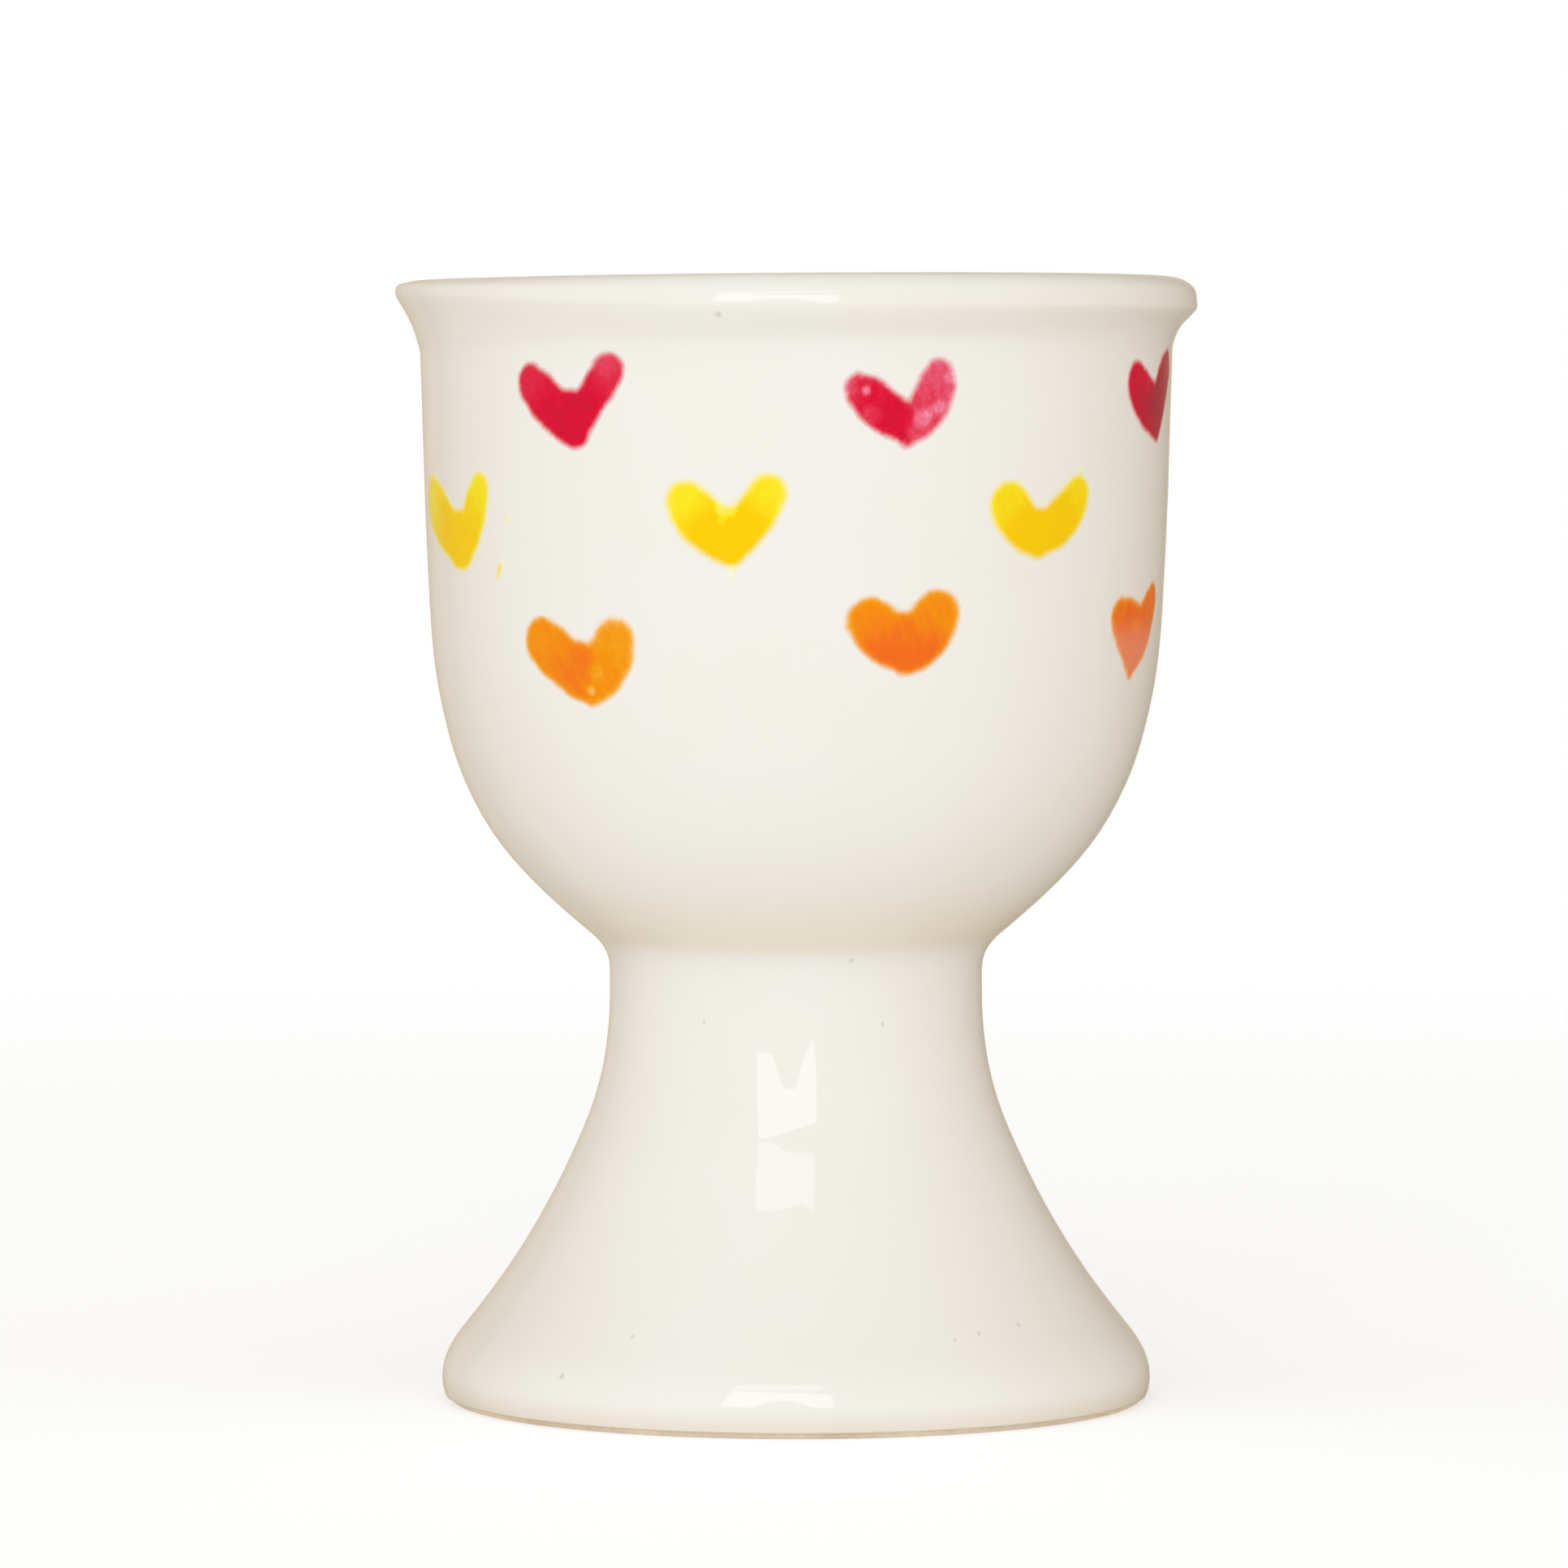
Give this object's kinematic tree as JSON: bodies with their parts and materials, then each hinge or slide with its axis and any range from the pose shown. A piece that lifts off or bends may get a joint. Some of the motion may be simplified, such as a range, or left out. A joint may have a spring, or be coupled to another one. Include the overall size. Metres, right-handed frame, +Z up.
{
  "type": "egg cup",
  "caption": "Footed ceramic egg cup: a deep round bowl with a rolled lip on a hollow flared foot, cream glazed, with staggered rows of small painted hearts.",
  "frame": {"origin": "on the table under the middle of the cup", "axes": "+Z up along the cup's axis, -Y towards the side that the picture shows, +X to its right"},
  "size_m": [0.0514, 0.0514, 0.072],
  "materials": {
    "biscuit_clay": "bare fired earthenware, matte",
    "fired_slip": "fired slip, matte",
    "cream_glaze": "clear glaze over cream, glossy",
    "red_colour": "brushed colour, glossy",
    "yellow_colour": "brushed colour, glossy",
    "orange_colour": "brushed colour, glossy"
  },
  "bodies": {
    "root": {"bowl": "biscuit_clay", "foot": "biscuit_clay", "slip_joint": "fired_slip", "glaze": "cream_glaze", "red_hearts": "red_colour", "yellow_hearts": "yellow_colour", "orange_hearts": "orange_colour"}
  },
  "joints": []
}
